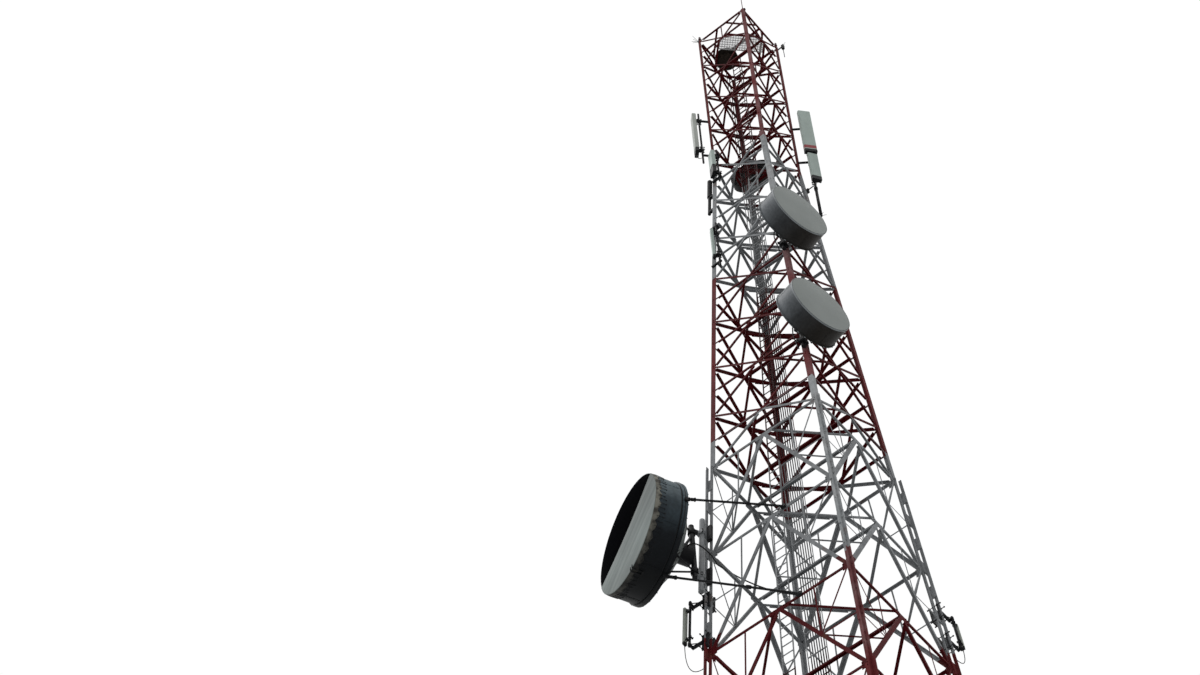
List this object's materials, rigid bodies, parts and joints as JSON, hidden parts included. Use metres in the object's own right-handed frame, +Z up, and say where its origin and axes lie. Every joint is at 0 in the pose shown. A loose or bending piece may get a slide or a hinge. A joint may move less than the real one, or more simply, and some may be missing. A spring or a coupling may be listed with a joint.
{
  "type": "self-supporting lattice telecom tower, 1:2 scale model",
  "caption": "Four-legged lattice telecom tower that tapers to a straight top, with ladders, drum antennas, a big open dish and panel antennas.",
  "frame": {"origin": "on the ground, at the middle of the underside of the near (front right) leg's base plate", "axes": "+Z up along the tower; +X and +Y run along the faces, and the tower stands toward -X and +Y of the near leg"},
  "size_m": [3.9, 3.9926, 36.758],
  "materials": {
    "galvanised": "satin",
    "leg_paint": "satin",
    "bracing_paint": "satin",
    "cable": "satin",
    "lamp": "gloss",
    "drum_metal": "satin",
    "radome": "matte",
    "reflector": "satin",
    "dark_steel": "satin",
    "panel_shell": "matte",
    "twigs": "matte"
  },
  "bodies": {
    "root": {"base_plates": "galvanised", "leg_front_right": "leg_paint", "leg_back_right": "leg_paint", "leg_back_left": "leg_paint", "leg_front_left": "leg_paint", "face_front_top": "bracing_paint", "face_right_top": "bracing_paint", "face_back_top": "bracing_paint", "face_left_top": "bracing_paint", "face_front": "bracing_paint", "face_right": "bracing_paint", "face_back": "bracing_paint", "face_left": "bracing_paint", "plan_bracing": "bracing_paint", "corner_bracing": "bracing_paint", "cross_beams": "bracing_paint", "ladder": "galvanised", "feeder_ladder": "galvanised", "feeder_cables": "cable", "top_platform": "galvanised", "lightning_rod": "galvanised", "corner_lamps": "lamp", "drum_1_shroud": "drum_metal", "drum_1_radome": "radome", "drum_1_reflector": "reflector", "drum_1_mount": "dark_steel", "drum_2_shroud": "drum_metal", "drum_2_radome": "radome", "drum_2_reflector": "reflector", "drum_2_mount": "dark_steel", "dish_shroud": "drum_metal", "dish_reflector": "reflector", "dish_cover": "radome", "dish_mount": "dark_steel", "dish_struts": "dark_steel", "panel_wide": "panel_shell", "panel_right": "panel_shell", "panel_left": "panel_shell", "panel_left_lower": "panel_shell", "panel_slim": "panel_shell", "panel_low_left": "panel_shell", "panel_low_right": "panel_shell", "poles_right": "dark_steel", "poles_left": "dark_steel", "poles_low": "dark_steel", "rear_dish": "dark_steel", "nest": "twigs", "dish_cable": "cable", "left_cable": "cable", "low_left_cable": "cable", "low_right_cable": "cable"}
  },
  "joints": []
}
